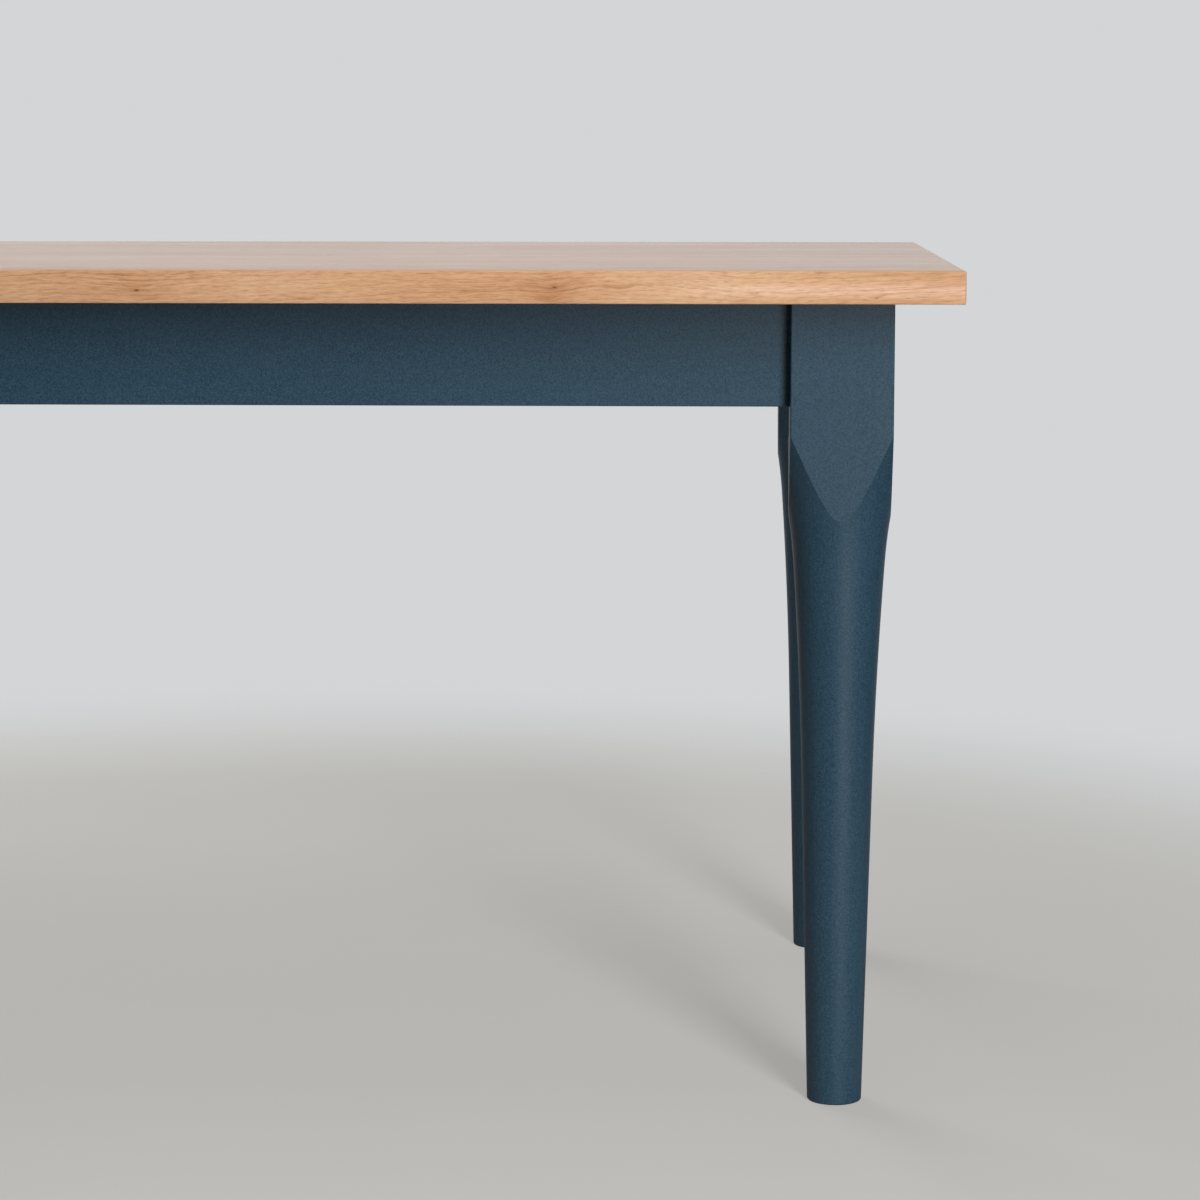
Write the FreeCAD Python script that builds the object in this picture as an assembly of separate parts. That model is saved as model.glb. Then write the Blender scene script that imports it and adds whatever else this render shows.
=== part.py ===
"""A dining table: an edge-glued oak top on a painted frame with bolt-on, square-to-round legs.

All lengths are in millimetres. The origin lies on the floor under the middle of the top.
+X runs along the table, +Y goes from the front apron to the back one, and +Z is up.
"""

import FreeCAD, Part
import math
import os
from collections import namedtuple

Vector = FreeCAD.Vector

# The whole table
table_length = 1600.0
table_width = 800.0
table_height = 750.0
overhang = 57.0

# The top, of full-length boards from front to back
top_thickness = 28.0
top_edge_chamfer = 0.8
board_width_shares = (0.155, 0.135, 0.145, 0.13, 0.1475, 0.1325, 0.155)

# The legs: a square head, a flare cut into its corners, a long sweep and a straight taper
leg_width = 90.0
leg_edge_radius = 1.2
leg_head_length = 117.0
leg_flare_length = 115.0
leg_flare_diameter = 81.0
leg_sweep_length = 197.0
leg_taper_diameter = 63.0
foot_diameter = 49.0
foot_chamfer = 1.8
bolt_flat_width = 40.0
bolt_flat_length = 84.0

# The aprons, whose ends butt against the legs
apron_height = 93.0
apron_thickness = 22.0
apron_setback = 20.0
apron_edge_radius = 1.0

# The groove along the inside of every apron, which holds the buttons' tongues
groove_drop = 12.0
groove_width = 8.0
groove_depth = 8.0

# The corner blocks, which the hanger bolts pull the legs against
block_gap = 8.0
block_thickness = 28.0
block_height = 60.0
block_drop = 24.0

# The hanger bolts in the legs, with their washers and nuts
bolt_diameter = 8.0
bolt_grip = 45.0
bolt_spacing = 32.0
bolt_end_length = 4.0
washer_diameter = 22.0
washer_thickness = 2.0
nut_width = 13.0
nut_height = 6.5

# The wood screws of the corner blocks and the buttons
screw_diameter = 4.5
screw_head_diameter = 9.0
screw_head_height = 2.6
block_screw_seat = 11.0
block_screw_grip = 15.0
button_screw_grip = 17.0

# The buttons, which hook into the groove and are screwed to the top
button_width = 36.0
button_length = 38.0
button_gap = 0.8
tongue_length = 7.0
tongue_thickness = 7.6
long_button_shares = (-0.7, -0.25, 0.25, 0.7)
side_button_shares = (-0.43, 0.43)

# The middle rail, tenoned into the long aprons
rail_thickness = 22.0
rail_height = 70.0
tenon_length = 10.0
tenon_thickness = 10.0
tenon_height = 36.0
tenon_drop = 27.0

# Fits, how far cuts run past a face, and how close counts as the same place
pin_clearance = 0.1
hole_clearance = 0.5
cut_overrun = 4.0
place_tolerance = 0.01

# Heights and places that follow from the sizes above
underside = table_height - top_thickness
apron_bottom = underside - apron_height
leg_x = table_length / 2 - overhang - leg_width / 2
leg_y = table_width / 2 - overhang - leg_width / 2
leg_inner_x = leg_x - leg_width / 2
leg_inner_y = leg_y - leg_width / 2
apron_inner_x = table_length / 2 - overhang - apron_setback - apron_thickness
apron_inner_y = table_width / 2 - overhang - apron_setback - apron_thickness
groove_top = underside - groove_drop
groove_bottom = groove_top - groove_width
block_top = underside - block_drop
block_bottom = block_top - block_height
block_middle = (block_top + block_bottom) / 2
bolt_heights = (block_middle - bolt_spacing / 2, block_middle + bolt_spacing / 2)

# Distances inward along a corner's diagonal, from where the aprons' inner faces would meet
leg_corner_inward = (apron_inner_x - leg_inner_x + apron_inner_y - leg_inner_y) / math.sqrt(2)
flat_inward = leg_corner_inward - bolt_flat_width / 2
block_near_inward = flat_inward + block_gap
block_far_inward = block_near_inward + block_thickness

# Distances from that same corner along an apron, to the block's two edges and to its screws
block_near_reach = block_near_inward * math.sqrt(2)
block_far_reach = block_far_inward * math.sqrt(2)
block_screw_reach = (block_near_reach + block_far_reach) / 2

origin = Vector(0, 0, 0)
x_axis = Vector(1, 0, 0)
y_axis = Vector(0, 1, 0)
z_axis = Vector(0, 0, 1)
inward = Vector(-1, -1, 0).normalize()

corners = {
    "front_left": (-1, -1),
    "front_right": (1, -1),
    "back_left": (-1, 1),
    "back_right": (1, 1),
}

# Every apron is made as a back apron of its own length and then turned about +Z to its side.
# inner_face is its distance from the middle, and corner is how far along it the aprons' inner faces meet.
ApronPlace = namedtuple("ApronPlace", "turn half_length inner_face corner button_shares holds_rail")
aprons = {
    "back": ApronPlace(0, leg_inner_x, apron_inner_y, apron_inner_x, long_button_shares, True),
    "left": ApronPlace(90, leg_inner_y, apron_inner_x, apron_inner_y, side_button_shares, False),
    "front": ApronPlace(180, leg_inner_x, apron_inner_y, apron_inner_x, long_button_shares, True),
    "right": ApronPlace(-90, leg_inner_y, apron_inner_x, apron_inner_y, side_button_shares, False),
}


def box(low, high):
    """Return the box between two opposite corners."""
    size = high - low
    return Part.makeBox(size.x, size.y, size.z, low)


def rod(start, direction, length, diameter):
    """Return a round rod that runs from a point in a direction."""
    return Part.makeCylinder(diameter / 2, length, start, direction)


def prism(points, extent):
    """Return the prism that a closed flat outline makes when it is pushed along a vector."""
    outline = Part.makePolygon(points + points[:1])
    return Part.Face(outline).extrude(extent)


def edges_where(shape, wanted):
    """Return the edges of a shape whose middle passes a test."""
    return [edge for edge in shape.Edges if wanted(edge.CenterOfMass)]


def at_corner(shape, side_x, side_y):
    """Return a piece of the back right corner mirrored to another corner."""
    if side_x < 0:
        shape = shape.mirror(origin, x_axis)
    if side_y < 0:
        shape = shape.mirror(origin, y_axis)
    return shape


def turned(shape, angle):
    """Return a piece of the back apron's side turned to another apron's side."""
    shape = shape.copy()
    shape.rotate(origin, z_axis, angle)
    return shape


def corner_point(distance, height):
    """Return the point of the back right corner's diagonal at a distance inward and a height."""
    return Vector(apron_inner_x, apron_inner_y, height) + inward * distance


def tangent_arc(start, direction, end):
    """Return the arc that leaves a point in a direction and ends at another, and its end direction."""
    chord = end - start
    chord_direction = Vector(chord).normalize()
    turn = direction.getAngle(chord_direction)
    outward = (chord_direction * chord_direction.dot(direction) - direction).normalize()
    middle = start + chord / 2 - outward * (chord.Length / 2 * math.tan(turn / 2))
    end_direction = chord_direction * (2 * chord_direction.dot(direction)) - direction
    return Part.Arc(start, middle, end).toBSpline().toShape(), end_direction


def turned_leg_form():
    """Return the turned solid about +Z: a straight taper, a sweep and a flare wider than the head."""
    taper_end = underside - leg_head_length - leg_flare_length - leg_sweep_length
    sweep_end = taper_end + leg_sweep_length
    foot = Vector(foot_diameter / 2, 0, 0)
    taper_top = Vector(leg_taper_diameter / 2, 0, taper_end)
    sweep_top = Vector(leg_flare_diameter / 2, 0, sweep_end)
    flare_top = Vector(leg_width / math.sqrt(2), 0, sweep_end + leg_flare_length)
    taper = Part.makeLine(foot, taper_top)
    sweep, sweep_direction = tangent_arc(taper_top, (taper_top - foot).normalize(), sweep_top)
    flare, flare_direction = tangent_arc(sweep_top, sweep_direction, flare_top)
    rim = flare_top + flare_direction * cut_overrun
    axis_top = Vector(0, 0, underside + cut_overrun)
    rim_top = Vector(rim.x, 0, axis_top.z)
    lid = Part.makePolygon([flare_top, rim, rim_top, axis_top, origin, foot])
    profile = Part.Face(Part.Wire([taper, sweep, flare] + lid.Edges))
    form = profile.revolve(origin, z_axis, 360)
    foot_edges = edges_where(form, lambda middle: abs(middle.z) < place_tolerance)
    return form.makeChamfer(foot_chamfer, foot_edges)


def bolt_flat_cut():
    """Return what is cut off the leg's inner corner for the bolts: a flat with a sloping lower end."""
    top = underside + cut_overrun
    bottom = underside - bolt_flat_length
    beyond = flat_inward + bolt_flat_width
    across = inward.cross(z_axis) * bolt_flat_width
    outline = [corner_point(flat_inward, top), corner_point(flat_inward, bottom),
               corner_point(beyond, bottom - bolt_flat_width), corner_point(beyond, top)]
    return prism([point - across for point in outline], across * 2)


def leg():
    """Return the back right leg: a square post turned below its head, with a flat for the bolts."""
    half = leg_width / 2
    post = box(Vector(-half, -half, 0), Vector(half, half, underside))
    arrises = edges_where(post, lambda middle: min(abs(middle.x), abs(middle.y)) > half - place_tolerance)
    body = post.makeFillet(leg_edge_radius, arrises).common(turned_leg_form())
    body.translate(Vector(leg_x, leg_y, 0))
    body = body.cut(bolt_flat_cut())
    for height in bolt_heights:
        bottom = corner_point(flat_inward - bolt_grip - pin_clearance, height)
        body = body.cut(rod(bottom, inward, bolt_grip + cut_overrun, bolt_diameter + 2 * pin_clearance))
    return body.removeSplitter()


def hanger_bolts():
    """Return the two hanger bolts of the back right leg."""
    length = bolt_grip + block_gap + block_thickness + washer_thickness + nut_height + bolt_end_length
    return [rod(corner_point(flat_inward - bolt_grip, height), inward, length, bolt_diameter)
            for height in bolt_heights]


def bolt_washers():
    """Return the washers on the inner face of the back right corner block."""
    bore = bolt_diameter + 2 * hole_clearance
    washers = []
    for height in bolt_heights:
        seat = corner_point(block_far_inward, height)
        disc = rod(seat, inward, washer_thickness, washer_diameter)
        washers.append(disc.cut(rod(seat, inward, washer_thickness, bore)))
    return washers


def bolt_nuts():
    """Return the hexagon nuts on the back right washers."""
    bore = bolt_diameter + 2 * pin_clearance
    across = inward.cross(z_axis)
    nuts = []
    for height in bolt_heights:
        seat = corner_point(block_far_inward + washer_thickness, height)
        radius = nut_width / math.sqrt(3)
        angles = [math.radians(60 * step) for step in range(6)]
        points = [seat + (across * math.cos(angle) + z_axis * math.sin(angle)) * radius for angle in angles]
        nuts.append(prism(points, inward * nut_height).cut(rod(seat, inward, nut_height, bore)))
    return nuts


def wood_screw(seat, direction, shank_length):
    """Return a pan-head wood screw whose head sits at a point and whose shank runs in a direction."""
    head = rod(seat, direction * -1, screw_head_height, screw_head_diameter)
    return head.fuse(rod(seat, direction, shank_length, screw_diameter))


def screw_hole(seat, direction, length, clearance):
    """Return the hole for a screw's shank, which runs from a point in a direction."""
    return rod(seat, direction, length, screw_diameter + 2 * clearance)


def block_screw_seats(name):
    """Return the points of the back apron's side, before its turn, where the block screws' heads sit."""
    place = aprons[name]
    along = place.corner - block_screw_reach
    return [Vector(side * along, place.inner_face - block_screw_seat, block_middle) for side in (-1, 1)]


def corner_block():
    """Return the back right corner block, mitred to both aprons, with its bolt and screw holes."""
    corner = Vector(apron_inner_x, apron_inner_y, block_bottom)
    outline = [corner - x_axis * block_near_reach, corner - x_axis * block_far_reach,
               corner - y_axis * block_far_reach, corner - y_axis * block_near_reach]
    body = prism(outline, z_axis * block_height)
    for height in bolt_heights:
        start = corner_point(block_near_inward - cut_overrun, height)
        body = body.cut(rod(start, inward, block_thickness + 2 * cut_overrun,
                            bolt_diameter + 2 * hole_clearance))
    for name in ("back", "right"):
        for seat in block_screw_seats(name):
            pocket = rod(seat, y_axis * -1, block_thickness, screw_head_diameter + 2 * hole_clearance)
            hole = screw_hole(seat, y_axis, block_screw_seat + cut_overrun, pin_clearance)
            body = body.cut(turned(pocket.fuse(hole), aprons[name].turn))
    return body


def corner_block_screws():
    """Return every corner block's screws, one into each end of each apron."""
    screws = []
    for name, place in aprons.items():
        for seat in block_screw_seats(name):
            screw = wood_screw(seat, y_axis, block_screw_seat + block_screw_grip)
            screws.append(turned(screw, place.turn))
    return screws


def tenon(side, clearance):
    """Return the middle rail's tenon at one end, or its mortise when it has a clearance."""
    half = tenon_thickness / 2 + clearance
    top = underside - tenon_drop
    low = Vector(-half, apron_inner_y - cut_overrun, top - tenon_height - clearance)
    high = Vector(half, apron_inner_y + tenon_length + clearance, top + clearance)
    return at_corner(box(low, high), 1, side)


def middle_rail():
    """Return the rail across the middle, with a stub tenon at each end."""
    half = rail_thickness / 2
    body = box(Vector(-half, -apron_inner_y, underside - rail_height),
               Vector(half, apron_inner_y, underside))
    return body.fuse([tenon(-1, 0), tenon(1, 0)]).removeSplitter()


def apron(name):
    """Return one apron, with its groove, its screw holes and, if it is long, the rail's mortise."""
    place = aprons[name]
    body = box(Vector(-place.half_length, place.inner_face, apron_bottom),
               Vector(place.half_length, place.inner_face + apron_thickness, underside))
    lower_edges = edges_where(body, lambda middle: abs(middle.x) < place_tolerance
                              and middle.z < apron_bottom + place_tolerance)
    body = body.makeFillet(apron_edge_radius, lower_edges)
    groove_end = place.half_length + cut_overrun
    groove = box(Vector(-groove_end, place.inner_face - cut_overrun, groove_bottom),
                 Vector(groove_end, place.inner_face + groove_depth, groove_top))
    body = body.cut(groove)
    for seat in block_screw_seats(name):
        length = block_screw_seat + block_screw_grip + pin_clearance
        body = body.cut(screw_hole(seat, y_axis, length, pin_clearance))
    if place.holds_rail:
        body = body.cut(tenon(1, pin_clearance))
    return turned(body, place.turn)


def button_places():
    """Return the name, apron turn and foot point of every button, along the back apron's side."""
    places = []
    for name, place in aprons.items():
        for number, share in enumerate(place.button_shares, start=1):
            foot = Vector(share * place.half_length, place.inner_face, 0)
            places.append((f"{name}_{number}", place.turn, foot))
    return places


def button(foot):
    """Return a button before its turn: a block under the top with a tongue in the apron's groove."""
    tongue_bottom = groove_top - tongue_thickness
    body = box(Vector(-button_width / 2, -button_gap - button_length, tongue_bottom),
               Vector(button_width / 2, -button_gap, underside - button_gap))
    tongue = box(Vector(-button_width / 2, -button_gap, tongue_bottom),
                 Vector(button_width / 2, tongue_length, groove_top))
    hole = screw_hole(button_screw_seat(), z_axis, button_length, hole_clearance)
    body = body.fuse(tongue).removeSplitter().cut(hole)
    body.translate(foot)
    return body


def button_screw_seat():
    """Return the place of a button's screw head, on the underside of the button's body."""
    return Vector(0, -button_gap - button_length / 2, groove_top - tongue_thickness)


def button_screw_length():
    """Return the length of a button's screw below its head."""
    return underside - button_screw_seat().z + button_screw_grip


def button_screws():
    """Return the screws that hold all the buttons to the top."""
    return [turned(wood_screw(foot + button_screw_seat(), z_axis, button_screw_length()), angle)
            for _, angle, foot in button_places()]


def on_outside_edge(point):
    """Tell whether a point lies on an outer edge of the whole top, not on a glued joint."""
    planes = ((abs(point.x), table_length / 2), (abs(point.y), table_width / 2),
              (point.z, table_height), (point.z, underside))
    return sum(abs(place - plane) < place_tolerance for place, plane in planes) >= 2


def top_boards():
    """Return the boards of the top from front to back, with pilot holes for the buttons' screws."""
    holes = [turned(screw_hole(foot + button_screw_seat(), z_axis,
                               button_screw_length() + pin_clearance, pin_clearance), angle)
             for _, angle, foot in button_places()]
    half_length = table_length / 2
    front = -table_width / 2
    boards = []
    for share in board_width_shares:
        back = front + table_width * share / sum(board_width_shares)
        board = box(Vector(-half_length, front, underside), Vector(half_length, back, table_height))
        board = board.makeChamfer(top_edge_chamfer, edges_where(board, on_outside_edge))
        boards.append(board.cut(holes))
        front = back
    return boards


def corner_group(make):
    """Return the pieces that a corner's function makes, at all four corners."""
    return [at_corner(piece, *sides) for sides in corners.values() for piece in make()]


def build():
    """Return every node of the table by name."""
    nodes = {}
    for number, board in enumerate(top_boards(), start=1):
        nodes[f"top_board_{number}"] = board
    one_leg = leg()
    one_block = corner_block()
    for name, sides in corners.items():
        nodes[f"leg_{name}"] = at_corner(one_leg, *sides)
        nodes[f"corner_block_{name}"] = at_corner(one_block, *sides)
    for name in aprons:
        nodes[f"apron_{name}"] = apron(name)
    nodes["middle_rail"] = middle_rail()
    for name, angle, foot in button_places():
        nodes[f"top_button_{name}"] = turned(button(foot), angle)
    nodes["hanger_bolts"] = Part.makeCompound(corner_group(hanger_bolts))
    nodes["bolt_washers"] = Part.makeCompound(corner_group(bolt_washers))
    nodes["bolt_nuts"] = Part.makeCompound(corner_group(bolt_nuts))
    nodes["corner_block_screws"] = Part.makeCompound(corner_block_screws())
    nodes["top_button_screws"] = Part.makeCompound(button_screws())
    return nodes


os.makedirs("parts", exist_ok=True)
for node_name, node_shape in build().items():
    node_shape.exportStep(f"parts/{node_name}.step")
    print(node_name, len(node_shape.Solids), "solids", node_shape.isValid(), round(node_shape.Volume))
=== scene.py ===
"""A dining table with an oak top on a painted base: its meshes, its finishes and its studio.

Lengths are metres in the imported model's own frame. +X runs along the table, the front is at -Y
and +Z is up. Boards, legs, buttons and fixings are modelled here in place of their plain solids.
The aprons, the corner blocks and the middle rail keep their solids and get their finishes.
"""

import logging
import math
from contextlib import contextmanager
from dataclasses import dataclass, field
from enum import Enum
from typing import Callable, Iterator, Sequence, Union

import bmesh
import bpy
from mathutils import Matrix, Vector


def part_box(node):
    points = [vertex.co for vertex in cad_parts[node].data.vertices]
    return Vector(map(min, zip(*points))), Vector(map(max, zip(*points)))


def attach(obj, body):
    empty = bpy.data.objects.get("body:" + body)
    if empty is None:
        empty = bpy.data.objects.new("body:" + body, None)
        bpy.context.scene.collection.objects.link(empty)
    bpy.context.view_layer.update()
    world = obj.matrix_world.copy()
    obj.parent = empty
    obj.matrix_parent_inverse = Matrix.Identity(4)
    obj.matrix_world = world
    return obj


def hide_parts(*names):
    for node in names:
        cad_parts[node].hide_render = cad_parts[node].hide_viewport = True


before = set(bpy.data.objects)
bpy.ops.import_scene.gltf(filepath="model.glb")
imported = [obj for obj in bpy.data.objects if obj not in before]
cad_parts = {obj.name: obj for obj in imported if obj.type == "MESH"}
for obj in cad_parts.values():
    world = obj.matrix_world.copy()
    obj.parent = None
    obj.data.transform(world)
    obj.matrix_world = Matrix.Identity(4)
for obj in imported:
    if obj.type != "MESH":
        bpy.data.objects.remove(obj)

log = logging.getLogger("dining_table")

BODY = "root"
NOISE_MIDDLE = 0.5
FACING = 0.5
RIGHT_ANGLE = math.radians(90)

Colour = tuple[float, float, float, float]
Triple = tuple[float, float, float]
Place = tuple[Vector, Triple]
Stops = Sequence[tuple[float, Colour]]


class Slot(Enum):
    """The record's material slots."""

    OAK = "oak_top"
    PAINT = "base_paint"
    BEECH = "plain_beech"
    ZINC = "zinc_steel"


class Corner(Enum):
    """The table's corners, as the signs of their X and Y."""

    BACK_RIGHT = (1, 1)
    BACK_LEFT = (-1, 1)
    FRONT_LEFT = (-1, -1)
    FRONT_RIGHT = (1, -1)

    @property
    def label(self) -> str:
        """The corner's part of a node name."""
        return self.name.lower()

    @property
    def inward(self) -> float:
        """The heading about +Z, in radians, from the corner to the middle along its diagonal."""
        side_x, side_y = self.value
        return math.atan2(-side_y, -side_x)


class Side(Enum):
    """The four aprons, with the turn about +Z, in radians, that takes the back one to each."""

    BACK = 0.0
    LEFT = math.radians(90)
    FRONT = math.radians(180)
    RIGHT = math.radians(270)

    @property
    def label(self) -> str:
        """The side's part of a node name."""
        return self.name.lower()

    @property
    def is_long(self) -> bool:
        """Whether the side runs along the table."""
        return self in (Side.FRONT, Side.BACK)


class Element(Enum):
    """What is picked on a piece in edit mode."""

    EDGE = "EDGE"
    FACE = "FACE"


class Joining(Enum):
    """What a second shape does to a piece."""

    ADD = "UNION"
    CUT = "DIFFERENCE"
    SHARE = "INTERSECT"


class GrainLayer(Enum):
    """The layers of noise in the oak, each of which is read at another place."""

    STREAK = 1
    PATCH = 2
    DASH = 3
    WANDER = 4
    RIPPLE = 5
    SWAY = 6


def tint(red: int, green: int, blue: int) -> Colour:
    """Turn a colour as a screen shows it, 0 to 255, into the linear colour that a shader takes.

    Args:
        red: The red part.
        green: The green part.
        blue: The blue part.

    Returns:
        The linear colour with full opacity.
    """
    def linear(part: int) -> float:
        """Undo the screen's curve for one part."""
        share = part / 255
        return share / 12.92 if share <= 0.04045 else ((share + 0.055) / 1.055) ** 2.4

    return (linear(red), linear(green), linear(blue), 1.0)


def scaled(colour: Colour, factor: float) -> Colour:
    """Make a colour lighter or darker by one factor and keep its opacity."""
    return (colour[0] * factor, colour[1] * factor, colour[2] * factor, colour[3])


# Shader graphs

class Value:
    """One output socket, so that shader maths can be written as an expression."""

    def __init__(self, sheet: "Sheet", socket: bpy.types.NodeSocket) -> None:
        """Keep the socket and the sheet that it is on."""
        self.sheet = sheet
        self.socket = socket

    def math(self, operation: str, *others: "Number") -> "Value":
        """Add a Math node that starts with this value."""
        sockets = dict(enumerate((self, *others)))
        return self.sheet.node("ShaderNodeMath", {"operation": operation}, sockets)

    def _reflected(self, operation: str, first: "Number") -> "Value":
        """Add a Math node that ends with this value."""
        return self.sheet.node("ShaderNodeMath", {"operation": operation}, {0: first, 1: self})

    def __add__(self, other: "Number") -> "Value":
        """Add."""
        return self.math("ADD", other)

    def __radd__(self, other: float) -> "Value":
        """Add to a number."""
        return self._reflected("ADD", other)

    def __sub__(self, other: "Number") -> "Value":
        """Subtract."""
        return self.math("SUBTRACT", other)

    def __rsub__(self, other: float) -> "Value":
        """Subtract from a number."""
        return self._reflected("SUBTRACT", other)

    def __mul__(self, other: "Number") -> "Value":
        """Multiply."""
        return self.math("MULTIPLY", other)

    def __rmul__(self, other: float) -> "Value":
        """Multiply a number."""
        return self._reflected("MULTIPLY", other)

    def __truediv__(self, other: "Number") -> "Value":
        """Divide."""
        return self.math("DIVIDE", other)

    def __rtruediv__(self, other: float) -> "Value":
        """Divide a number."""
        return self._reflected("DIVIDE", other)

    def __pow__(self, other: "Number") -> "Value":
        """Raise to a power."""
        return self.math("POWER", other)

    def __abs__(self) -> "Value":
        """Drop the sign."""
        return self.math("ABSOLUTE")

    def floor(self) -> "Value":
        """Round down."""
        return self.math("FLOOR")

    def root(self) -> "Value":
        """Take the square root."""
        return self.math("SQRT")

    def exp(self) -> "Value":
        """Raise e to this value."""
        return self.math("EXPONENT")

    def most(self, other: "Number") -> "Value":
        """Take the larger of two."""
        return self.math("MAXIMUM", other)

    def step(self, start: float, end: float) -> "Value":
        """Rise smoothly from 0 at the start to 1 at the end."""
        return self.sheet.node("ShaderNodeMapRange", {"interpolation_type": "SMOOTHSTEP"},
                               {"Value": self, "From Min": start, "From Max": end})


Number = Union[Value, float]


class Sheet:
    """The node tree of one material or world, which starts with its output alone."""

    def __init__(self, tree: bpy.types.NodeTree, output_kind: str) -> None:
        """Empty a tree and give it its output.

        Args:
            tree: The node tree to write on.
            output_kind: The type of the output node.
        """
        self.tree = tree
        tree.nodes.clear()
        self.end = tree.nodes.new(output_kind)

    def node(self, kind: str, settings: dict | None = None, sockets: dict | None = None,
             output: str | int = 0) -> Value:
        """Add a node, set it up and wire it.

        Args:
            kind: The node's type.
            settings: Its properties by name, or the stops of its ramp.
            sockets: A value, or the Value that is linked, for inputs by name, identifier or number.
            output: The name, identifier or number of the output that is wanted.

        Returns:
            The wanted output.
        """
        node = self.tree.nodes.new(kind)
        for name, setting in (settings or {}).items():
            if name == "stops":
                self._set_stops(node.color_ramp, setting)
            else:
                setattr(node, name, setting)
        for key, value in (sockets or {}).items():
            self.wire(value, self._socket(node.inputs, key))
        return Value(self, self._socket(node.outputs, output))

    def wire(self, value: object, socket: bpy.types.NodeSocket) -> None:
        """Link a Value to an input, or write something plain on it.

        Args:
            value: The Value, or a plain number, colour or vector.
            socket: The input.
        """
        if isinstance(value, Value):
            self.tree.links.new(value.socket, socket)
        else:
            socket.default_value = value

    @staticmethod
    def _socket(sockets: bpy.types.bpy_prop_collection, key: str | int) -> bpy.types.NodeSocket:
        """Find a socket.

        Args:
            sockets: A node's inputs or outputs.
            key: The socket's number, identifier or name.

        Returns:
            The socket.
        """
        if isinstance(key, int):
            return sockets[key]
        identified = (socket for socket in sockets if socket.identifier == key)
        return next(identified, None) or sockets[key]

    @staticmethod
    def _set_stops(ramp: bpy.types.ColorRamp, stops: Stops) -> None:
        """Give a colour ramp its stops.

        Args:
            ramp: The ramp, as it comes with its node.
            stops: The position and colour of every stop.
        """
        while len(ramp.elements) < len(stops):
            ramp.elements.new(1.0)
        for element, (position, colour) in zip(ramp.elements, stops):
            element.position = position
            element.color = colour

    def place(self, output: str = "Object") -> Value:
        """Read the shaded point's place or normal on its piece, or a ray's heading in the world."""
        return self.node("ShaderNodeTexCoord", output=output)

    def split(self, vector: Value) -> tuple[Value, Value, Value]:
        """Split a vector or colour.

        Args:
            vector: The vector or colour.

        Returns:
            Its three parts.
        """
        parts = self.node("ShaderNodeSeparateXYZ", sockets={0: vector})
        outputs = parts.socket.node.outputs
        return Value(self, outputs[0]), Value(self, outputs[1]), Value(self, outputs[2])

    def mapped(self, vector: Value, scale: Triple, shift: Sequence[float] = (0, 0, 0),
               turn: float = 0.0) -> Value:
        """Turn a place about +Z, stretch it and shift it.

        Args:
            vector: The place.
            scale: The factors along the three axes after the turn.
            shift: What is added after that.
            turn: The turn of the pattern, in radians.

        Returns:
            The place to read a texture at.
        """
        turned = vector
        if turn:
            sockets = {"Vector": vector, "Rotation": (0, 0, -turn)}
            turned = self.node("ShaderNodeMapping", sockets=sockets)
        sockets = {"Vector": turned, "Scale": scale, "Location": tuple(shift)}
        return self.node("ShaderNodeMapping", sockets=sockets)

    def noise(self, vector: Value, detail: float = 2.0, roughness: float = 0.5,
              output: str = "Fac") -> Value:
        """Read smooth noise of about one lump per unit."""
        sockets = {"Vector": vector, "Scale": 1.0, "Detail": detail, "Roughness": roughness}
        return self.node("ShaderNodeTexNoise", sockets=sockets, output=output)

    def swing(self, vector: Value, detail: float = 2.0, roughness: float = 0.5) -> Value:
        """Read the same noise as it swings about zero."""
        return self.noise(vector, detail, roughness) - NOISE_MIDDLE

    def mix(self, factor: Number, first: object, second: object, blend: str = "MIX") -> Value:
        """Mix two colours.

        Args:
            factor: How far the mix goes to the second colour.
            first: The first colour.
            second: The second colour.
            blend: The way of mixing.

        Returns:
            The mixed colour.
        """
        settings = {"data_type": "RGBA", "blend_type": blend}
        sockets = {"Factor_Float": factor, "A_Color": first, "B_Color": second}
        return self.node("ShaderNodeMix", settings, sockets, "Result_Color")

    def ramp(self, factor: Value, stops: Stops) -> Value:
        """Turn a number into a colour."""
        return self.node("ShaderNodeValToRGB", {"stops": stops}, {"Fac": factor}, "Color")

    def bump(self, height: Value, distance: float, strength: float) -> Value:
        """Turn a height into a normal."""
        return self.node("ShaderNodeBump",
                         sockets={"Height": height, "Distance": distance, "Strength": strength})

    def close(self, shader: Value) -> None:
        """Send a shader to the output."""
        self.tree.links.new(shader.socket, self.end.inputs["Surface"])


def material_sheet(name: str) -> tuple[bpy.types.Material, Sheet]:
    """Start a material.

    Args:
        name: The material's name.

    Returns:
        The material and its sheet.
    """
    material = bpy.data.materials.new(name)
    material.use_nodes = True
    return material, Sheet(material.node_tree, "ShaderNodeOutputMaterial")


# Finishes

@dataclass(frozen=True)
class Knot:
    """A small knot, or a patch of browner wood or of painted shade, on the top's front edge.

    Attributes:
        x: Its place along the table.
        z: Its height.
        reach: How far the patch spreads along the grain.
        height: How far it spreads up and down.
        depth: How far it goes into the board.
        shade: How brown or how deeply shaded the patch is, from 0 to 1.
        core: How dark its core is, from 0 to 1.
    """

    x: float
    z: float
    reach: float
    height: float
    depth: float
    shade: float
    core: float


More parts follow.
